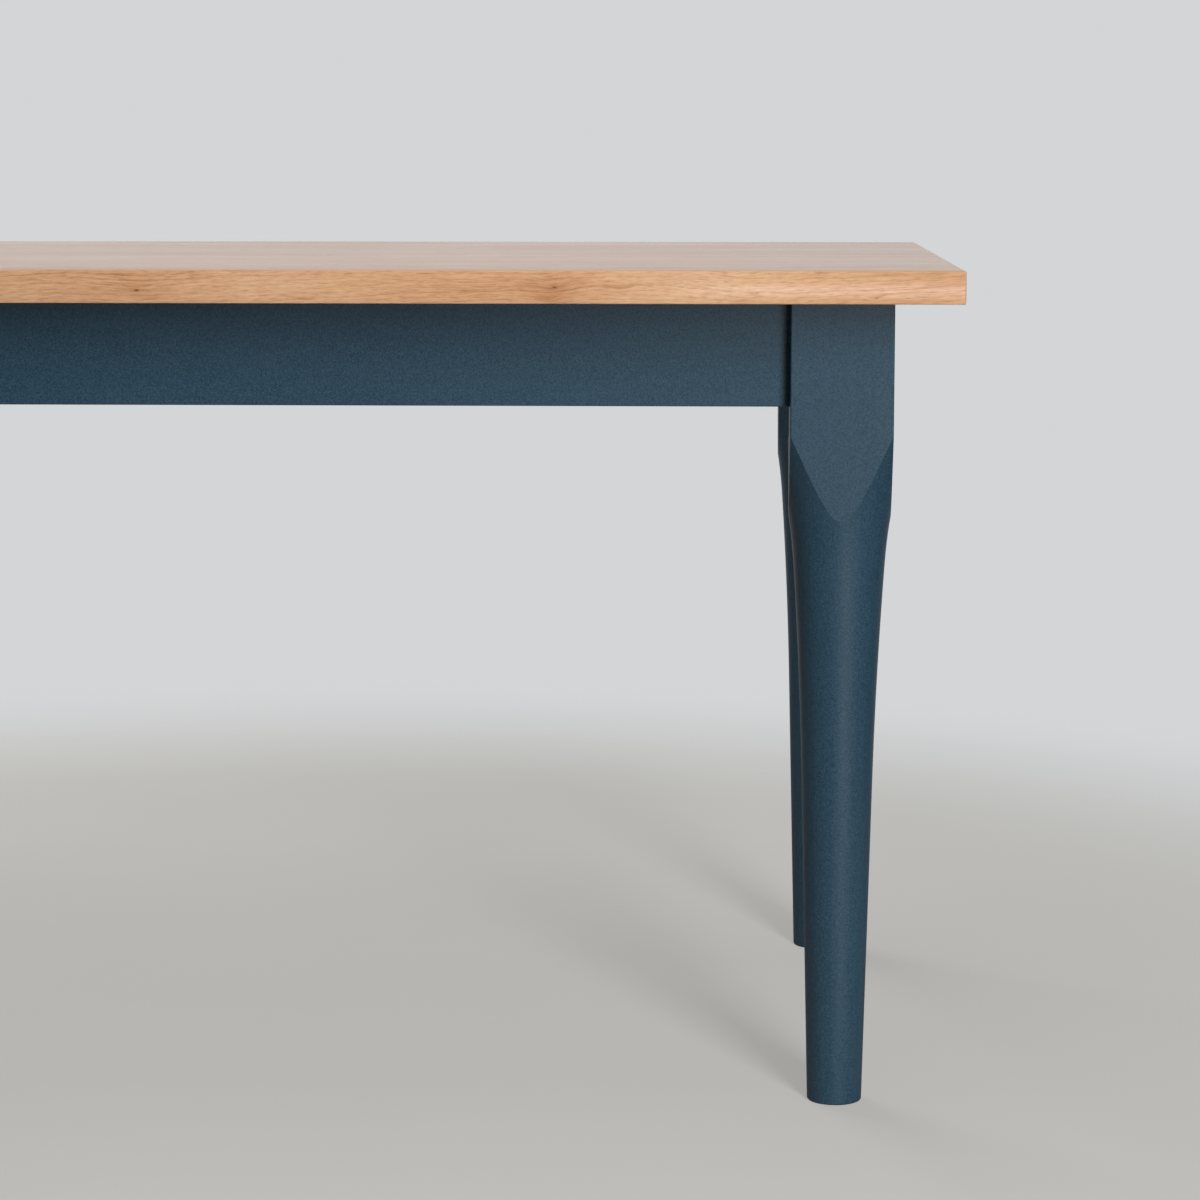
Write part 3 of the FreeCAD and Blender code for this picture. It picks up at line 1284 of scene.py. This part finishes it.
@dataclass
class BeechFittings:
    """The pieces of bare beech under the top: corner blocks, the middle rail and the buttons."""

    tongue_length: float = 0.0078
    tongue_thickness: float = 0.0076
    button_arris: float = 0.0009
    arris_steps: int = 2
    level: float = 1.0
    crease: float = 35.0
    diagonal: int = 45

    def build(self) -> None:
        """Dress the blocks and the rail, and model the buttons."""
        across = BeechFinish("beech_across", RIGHT_ANGLE).material()
        along = BeechFinish("beech_along").material()
        diagonals = {turn: BeechFinish(f"beech_diagonal_{turn}", math.radians(turn)).material()
                     for turn in (self.diagonal, -self.diagonal)}
        for corner in Corner:
            side_x, side_y = corner.value
            turn = -self.diagonal * side_x * side_y
            dress_node(f"corner_block_{corner.label}", diagonals[turn])
        dress_node("middle_rail", across)
        pattern = self._button()
        for node in button_nodes():
            self._place_button(pattern, node, across if button_side(node).is_long else along)
        bpy.data.objects.remove(pattern)

    def _button(self) -> bpy.types.Object:
        """Model a back apron's button about the middle of its lower inner edge.

        Returns:
            The button.
        """
        low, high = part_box("top_button_back_1")
        half = (high.x - low.x) / 2
        body = high.y - low.y - self.tongue_length
        button = start_block("button_pattern", (-half, 0, 0), (half, body, high.z - low.z))

        def tongue_root(middle: Vector, normal: Vector) -> bool:
            """Tell whether a face is the lower one towards the apron."""
            return normal.y > FACING and middle.z < self.tongue_thickness

        with editing(button, Element.FACE):
            bpy.ops.mesh.select_all(action="SELECT")
            bpy.ops.mesh.bisect(plane_co=(0, 0, self.tongue_thickness), plane_no=(0, 0, 1))
            pick_faces(button, tongue_root)
            extrude((0, self.tongue_length, 0))
            bpy.ops.mesh.select_all(action="SELECT")
            bpy.ops.mesh.dissolve_limited(angle_limit=math.radians(self.level))
        with editing(button, Element.EDGE):
            bpy.ops.mesh.edges_select_sharp(sharpness=math.radians(self.crease))
            bpy.ops.mesh.bevel(offset=self.button_arris, segments=self.arris_steps)
        return button

    def _place_button(self, pattern: bpy.types.Object, node: str,
                      material: bpy.types.Material) -> None:
        """Copy the button to one node's place and dress it.

        Args:
            pattern: The button to copy.
            node: The node that the copy stands for.
            material: Its beech.
        """
        name = node.replace("top_button", "beech_button")
        turn = (0, 0, button_side(node).value)
        button = copy_of(pattern, name, button_point(node, 0.0), turn)
        shade(button, self.crease)
        hand_over(button, Slot.BEECH, material, node)


@dataclass
class SteelFixings:
    """The zinc-plated fixings: hanger bolts with washers and nuts, and pan-head wood screws."""

    bolt_radius: float = 0.004
    thread_pitch: float = 0.00125
    thread_depth: float = 0.0007
    thread_crest_share: float = 0.2
    thread_spare_turns: int = 3
    thread_merge_share: float = 0.01
    bolt_grip: float = 0.045
    bolt_end: float = 0.004
    bolt_tip: float = 0.0008
    shank_clearance: float = 0.0001
    bolt_spacing: float = 0.032
    flat_to_block: float = 0.008
    block_thickness: float = 0.028
    washer_radius: float = 0.011
    washer_bore: float = 0.0045
    washer_thickness: float = 0.002
    washer_round: float = 0.0005
    washer_round_steps: int = 2
    nut_sides: int = 6
    nut_width: float = 0.013
    nut_height: float = 0.0065
    nut_bore: float = 0.0041
    nut_face_share: float = 0.94
    nut_fall: float = 30.0
    screw_radius: float = 0.00225
    screw_point: float = 0.0006
    head_radius: float = 0.0045
    head_height: float = 0.0026
    head_round: float = 0.0015
    head_round_steps: int = 5
    recess_length: float = 0.0052
    recess_width: float = 0.0011
    recess_depth: float = 0.0013
    block_screw_seat: float = 0.011
    block_screw_length: float = 0.026
    button_screw_inset: float = 0.019
    button_screw_length: float = 0.0366
    sides: int = 32
    crease: float = 30.0

    def build(self, material: bpy.types.Material) -> None:
        """Model every fixing, lay it out in its group and dress the groups.

        Args:
            material: The zinc plate.
        """
        seat = self.block_thickness + self.flat_to_block + self.bolt_grip
        self._group("threaded_hanger_bolts", self._bolt(), self._bolt_places(-seat),
                    "hanger_bolts", material)
        self._group("round_washers", self._washer(), self._bolt_places(0.0),
                    "bolt_washers", material)
        self._group("hexagon_nuts", self._nut(), self._bolt_places(self.washer_thickness),
                    "bolt_nuts", material)
        self._group("block_pan_screws", self._screw(self.block_screw_length),
                    self._block_screw_places(), "corner_block_screws", material)
        self._group("button_pan_screws", self._screw(self.button_screw_length),
                    self._button_screw_places(), "top_button_screws", material)

    def _group(self, name: str, pattern: bpy.types.Object, places: Sequence[Place], node: str,
               material: bpy.types.Material) -> None:
        """Copy one fixing to all its places, join the copies and dress them.

        Args:
            name: The group's name.
            pattern: The fixing, whose +Z axis is the one that each place turns.
            places: The location and the turns of every copy.
            node: The node that the group stands for.
            material: Its finish.
        """
        copies = [copy_of(pattern, f"{name}_{number}", *place)
                  for number, place in enumerate(places)]
        bpy.data.objects.remove(pattern)
        group = join(copies)
        group.name = name
        shade(group, self.crease)
        hand_over(group, Slot.ZINC, material, node)

    def _bolt_places(self, beyond: float) -> list[Place]:
        """Find the points on the bolts' axes at a distance beyond the blocks' inner faces.

        Args:
            beyond: The distance, towards the middle of the table.

        Returns:
            The points, two to a block, and the turns that face +Z along the bolts.
        """
        places = []
        for corner in Corner:
            outer, length = block_corner(corner)
            inward = Vector((math.cos(corner.inward), math.sin(corner.inward), 0))
            face = outer + inward * (length / math.sqrt(2) + beyond)
            for side in (-1, 1):
                lift = Vector((0, 0, side * self.bolt_spacing / 2))
                places.append((face + lift, (0, RIGHT_ANGLE, corner.inward)))
        return places

    def _block_screw_places(self) -> list[Place]:
        """Find the seats of the corner blocks' screws, two to a block, each facing its apron.

        Returns:
            The seats and the turns that face +Z into the aprons.
        """
        places = []
        for corner in Corner:
            side_x, side_y = corner.value
            outer, length = block_corner(corner)
            reach = length - self.block_thickness / math.sqrt(2)
            to_long = Vector((-side_x * reach, -side_y * self.block_screw_seat, 0))
            to_end = Vector((-side_x * self.block_screw_seat, -side_y * reach, 0))
            end_turn = RIGHT_ANGLE - side_x * RIGHT_ANGLE
            places.append((outer + to_long, (0, RIGHT_ANGLE, side_y * RIGHT_ANGLE)))
            places.append((outer + to_end, (0, RIGHT_ANGLE, end_turn)))
        return places

    def _button_screw_places(self) -> list[Place]:
        """Find the seats of the buttons' screws, under the middle of each button's body."""
        return [(button_point(node, self.button_screw_inset), (0, 0, 0)) for node in button_nodes()]

    def _bolt(self) -> bpy.types.Object:
        """Model a hanger bolt along +Z: a plain shank in the leg and a cut thread beyond it.

        The envelope and the shank are turned by half a side and stand clear of the thread's crest
        and root, so that none of their faces lies in one of the thread's.

        Returns:
            The bolt.
        """
        outer = (self.flat_to_block + self.block_thickness + self.washer_thickness + self.nut_height
                 + self.bolt_end)
        end = self.bolt_grip + outer
        root = self.bolt_radius - self.thread_depth
        thread = self._thread(outer)
        outside = self.bolt_radius + self.thread_depth
        half_step = (0, 0, math.pi / self.sides)
        envelope = start_turning("thread_envelope", [
            Vector((outside, self.bolt_grip)),
            Vector((outside, end - self.bolt_tip * 2)),
            Vector((root, end)),
        ], self.sides)
        combine(thread, settle(envelope, rotation=half_step), Joining.SHARE)
        shank = start_turning("bolt_shank", [
            Vector((root - self.bolt_tip, 0)),
            Vector((root, self.bolt_tip)),
            Vector((root, self.bolt_grip - self.shank_clearance)),
            Vector((root - self.bolt_tip, self.bolt_grip + self.bolt_tip)),
        ], self.sides)
        return combine(thread, settle(shank, rotation=half_step), Joining.ADD)

    def _thread(self, length: float) -> bpy.types.Object:
        """Wind a thread from above the shank past the bolt's end: a flat profile, screwed up.

        Args:
            length: The length of the thread that is needed.

        Returns:
            The closed thread.
        """
        pitch = self.thread_pitch
        crest = self.bolt_radius
        root = crest - self.thread_depth
        middle = (crest + root) / 2
        start_height = self.bolt_grip - pitch
        merge = pitch * self.thread_merge_share
        bpy.ops.object.select_all(action="DESELECT")
        bpy.ops.mesh.primitive_plane_add(size=1, rotation=(RIGHT_ANGLE, 0, 0),
                                         location=(middle, 0, start_height))
        thread = bpy.context.object
        thread.name = "bolt_pattern"
        thread.scale = (crest - root, pitch, 1)
        settle(thread, thread.location, thread.rotation_euler)
        with editing(thread, Element.EDGE):
            bpy.ops.mesh.select_all(action="SELECT")
            bpy.ops.mesh.delete(type="ONLY_FACE")
            pick_edges(thread, lambda start, end: max(start.x, end.x) < middle)
            bpy.ops.mesh.delete(type="EDGE")
            pick_edges(thread, lambda start, end: min(start.x, end.x) > middle)
            bpy.ops.transform.resize(value=(1, 1, self.thread_crest_share),
                                     center_override=(crest, 0, start_height))
        winding = thread.modifiers.new("winding", "SCREW")
        winding.axis = "Z"
        winding.screw_offset = pitch
        winding.iterations = math.ceil(length / pitch) + self.thread_spare_turns
        winding.steps = self.sides
        winding.render_steps = self.sides
        winding.use_merge_vertices = True
        winding.merge_threshold = merge
        bpy.ops.object.modifier_apply(modifier=winding.name)
        with editing(thread, Element.EDGE):
            bpy.ops.mesh.select_all(action="SELECT")
            bpy.ops.mesh.remove_doubles(threshold=merge)
            bpy.ops.mesh.fill_holes(sides=0)
            point_outwards()
        return thread

    def _washer(self) -> bpy.types.Object:
        """Model a washer along +Z, with its outer rims rounded.

        Returns:
            The washer.
        """
        disc = start_turning("washer_pattern", [
            Vector((self.washer_radius, 0)),
            Vector((self.washer_radius, self.washer_thickness)),
        ], self.sides)
        rim = self.washer_radius - self.washer_round

        def on_rim(start: Vector, end: Vector) -> bool:
            """Tell whether an edge runs round the outside, at the top or the bottom."""
            return start.xy.length > rim and abs(start.z - end.z) < self.washer_round

        with editing(disc, Element.EDGE):
            pick_edges(disc, on_rim)
            bpy.ops.mesh.bevel(offset=self.washer_round, segments=self.washer_round_steps)
        return combine(disc, self._bore(self.washer_bore, self.washer_thickness), Joining.CUT)

    def _nut(self) -> bpy.types.Object:
        """Model a hexagon nut along +Z, with its corners turned down at both ends.

        Returns:
            The nut.
        """
        corner = self.nut_width / math.sqrt(3)
        face = self.nut_width / 2 * self.nut_face_share
        fall = (corner - face) * math.tan(math.radians(self.nut_fall))
        nut = start_turning("nut_pattern", [
            Vector((corner, 0)),
            Vector((corner, self.nut_height)),
        ], self.nut_sides)
        barrel = start_turning("nut_barrel", [
            Vector((face, 0)),
            Vector((corner, fall)),
            Vector((corner, self.nut_height - fall)),
            Vector((face, self.nut_height)),
        ], self.sides * 2)
        combine(nut, barrel, Joining.SHARE)
        return combine(nut, self._bore(self.nut_bore, self.nut_height), Joining.CUT)

    def _bore(self, radius: float, height: float) -> bpy.types.Object:
        """Model what bores a hole along +Z through a flat piece."""
        stations = [Vector((radius, -height)), Vector((radius, height * 2))]
        return start_turning("bore", stations, self.sides)

    def _screw(self, length: float) -> bpy.types.Object:
        """Model a pan-head screw whose head sits on the origin and whose shank runs along +Z.

        Args:
            length: The shank's length.

        Returns:
            The screw.
        """
        screw = start_turning("screw_pattern", [
            Vector((self.head_radius, -self.head_height)),
            Vector((self.head_radius, 0)),
            Vector((self.screw_radius, 0)),
            Vector((self.screw_radius, length - self.screw_radius * 2)),
            Vector((self.screw_point, length)),
        ], self.sides)
        with editing(screw, Element.EDGE):
            pick_edges(screw, lambda start, end: max(start.z, end.z) < -self.head_round)
            bpy.ops.mesh.bevel(offset=self.head_round, segments=self.head_round_steps)
        arm = (self.recess_length / 2, self.recess_width / 2)
        for half_x, half_y in (arm, arm[::-1]):
            recess = start_block("recess", (-half_x, -half_y, -self.head_height * 2),
                                 (half_x, half_y, self.recess_depth - self.head_height))
            combine(screw, recess, Joining.CUT)
        return screw


# The studio

@dataclass(frozen=True)
class Lamp:
    """A large soft lamp that faces the table, and which a gloss may mirror or not."""

    name: str
    location: Triple
    target: Triple
    size: tuple[float, float]
    power: float
    mirrored: bool = True

    def build(self) -> None:
        """Add the lamp."""
        data = bpy.data.lights.new(self.name, "AREA")
        data.shape = "RECTANGLE"
        data.size, data.size_y = self.size
        data.energy = self.power
        lamp = bpy.data.objects.new(self.name, data)
        lamp.location = self.location
        lamp.visible_camera = False
        lamp.visible_glossy = self.mirrored
        facing = Vector(self.target) - Vector(self.location)
        lamp.rotation_euler = facing.to_track_quat("-Z", "Y").to_euler()
        bpy.context.collection.objects.link(lamp)
        log.info("%s: %g W", self.name, self.power)


@dataclass(frozen=True)
class Studio:
    """A pale floor that fades into a pale backdrop, soft lamps and the photograph's camera."""

    backdrop: Colour = tint(211, 213, 215)
    floor: Colour = tint(206, 205, 201)
    ambient: float = 0.042
    backdrop_start: float = 0.6
    backdrop_end: float = 0.95
    floor_glow: float = 0.5
    bounce: float = 0.6
    floor_radius: float = 9.0
    floor_sides: int = 96
    floor_roughness: float = 0.75
    floor_gloss: float = 0.2
    mottle_scale: Triple = (3, 3, 3)
    mottle_dark: float = 0.95
    mottle_pale: float = 1.05
    fade_start: float = 1.15
    fade_end: float = 2.1
    camera_place: Triple = (0.59404, -3.29757, 0.86411)
    camera_pitch: float = 7.774
    camera_yaw: float = 2.062
    lens: float = 102.12
    sensor: float = 36.0
    lamps: tuple[Lamp, ...] = (
        Lamp("key_lamp", (2.0, -4.1, 2.6), (0.65, -0.33, 0.7), (0.9, 3.2), 152.0,
             mirrored=False),
        Lamp("front_lamp", (1.7, -3.3, 0.42), (0.65, -0.33, 0.5), (1.2, 0.62), 27.0),
        Lamp("ceiling_lamp", (0.0, 0.0, 3.0), (0.0, 0.0, 0.0), (2.4, 1.8), 19.0,
             mirrored=False),
        Lamp("back_lamp", (-1.6, 3.2, 1.6), (0.0, 0.0, 0.5), (2.4, 1.4), 85.0,
             mirrored=False),
    )

    def build(self) -> None:
        """Set up the backdrop, the floor, the lamps and the camera."""
        bpy.context.scene.view_settings.view_transform = "Standard"
        self._world()
        self._floor()
        for lamp in self.lamps:
            lamp.build()
        self._camera()

    def _world(self) -> None:
        """Light the room evenly; show the backdrop to the camera and, behind the table, to gloss.

        A ray's heading tells whether it goes to what is behind the table.
        """
        world = bpy.data.worlds.new("studio")
        world.use_nodes = True
        bpy.context.scene.world = world
        sheet = Sheet(world.node_tree, "ShaderNodeOutputWorld")
        camera, glossy, clear = [sheet.node("ShaderNodeLightPath", output=name) for name in (
            "Is Camera Ray", "Is Glossy Ray", "Is Transmission Ray")]
        _, ahead, _ = sheet.split(sheet.place("Generated"))
        behind = ahead.step(self.backdrop_start, self.backdrop_end)
        seen = camera.most(glossy * behind).most(clear)
        light = sheet.node("ShaderNodeBackground",
                           sockets={"Color": (1, 1, 1, 1), "Strength": self.ambient})
        backdrop = sheet.node("ShaderNodeBackground",
                              sockets={"Color": self.backdrop, "Strength": 1.0})
        sheet.close(sheet.node("ShaderNodeMixShader", sockets={0: seen, 1: light, 2: backdrop}))

    def _floor(self) -> None:
        """Lay a round floor whose rim fades away and which is clear from below."""
        bpy.ops.object.select_all(action="DESELECT")
        bpy.ops.mesh.primitive_circle_add(vertices=self.floor_sides, radius=self.floor_radius,
                                          fill_type="NGON")
        floor = bpy.context.object
        floor.name = "studio_floor"
        material, sheet = material_sheet("studio_floor")
        spot = sheet.place()
        x, y, _ = sheet.split(spot)
        below = sheet.node("ShaderNodeNewGeometry", output="Backfacing")
        fade = (x * x + y * y).root().step(self.fade_start, self.fade_end).most(below)
        mottle = sheet.noise(sheet.mapped(spot, self.mottle_scale), detail=3)
        dark, pale = scaled(self.floor, self.mottle_dark), scaled(self.floor, self.mottle_pale)
        surface = sheet.node("ShaderNodeBsdfPrincipled", sockets={
            "Base Color": sheet.mix(mottle, dark, pale),
            "Roughness": self.floor_roughness,
            "Specular IOR Level": self.floor_gloss,
        })
        glow = sheet.node("ShaderNodeEmission", sockets={"Color": self.floor, "Strength": 1.0})
        seen = sheet.node("ShaderNodeLightPath", output="Is Camera Ray")
        bright = sheet.node("ShaderNodeMixShader",
                            sockets={0: self.floor_glow, 1: surface, 2: glow})
        dim = sheet.node("ShaderNodeBsdfDiffuse",
                         sockets={"Color": scaled(self.floor, self.bounce)})
        surface = sheet.node("ShaderNodeMixShader", sockets={0: seen, 1: dim, 2: bright})
        clear = sheet.node("ShaderNodeBsdfTransparent")
        sheet.close(sheet.node("ShaderNodeMixShader", sockets={0: fade, 1: surface, 2: clear}))
        floor.data.materials.append(material)

    def _camera(self) -> None:
        """Stand the camera where the photograph was taken from."""
        data = bpy.data.cameras.new("photo_camera")
        data.sensor_width = self.sensor
        data.lens = self.lens
        camera = bpy.data.objects.new("photo_camera", data)
        camera.location = self.camera_place
        tilt = RIGHT_ANGLE - math.radians(self.camera_pitch)
        camera.rotation_euler = (tilt, 0, math.radians(self.camera_yaw))
        bpy.context.collection.objects.link(camera)
        bpy.context.scene.camera = camera


def main() -> None:
    """Build the table piece by piece, then its studio."""
    logging.basicConfig(level=logging.INFO, format="%(name)s: %(message)s")
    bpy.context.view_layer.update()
    leg_paint = PaintFinish("paint_on_legs", grain_scale=(260, 260, 8)).material()
    long_paint = PaintFinish("paint_on_long_aprons").material()
    end_paint = PaintFinish("paint_on_end_aprons", grain_turn=RIGHT_ANGLE).material()
    OakTop().build()
    TurnedLegs().build(leg_paint)
    PaintedFrame().build(long_paint, end_paint)
    BeechFittings().build()
    SteelFixings().build(ZincFinish().material())
    Studio().build()


if __name__ == "__main__":
    main()
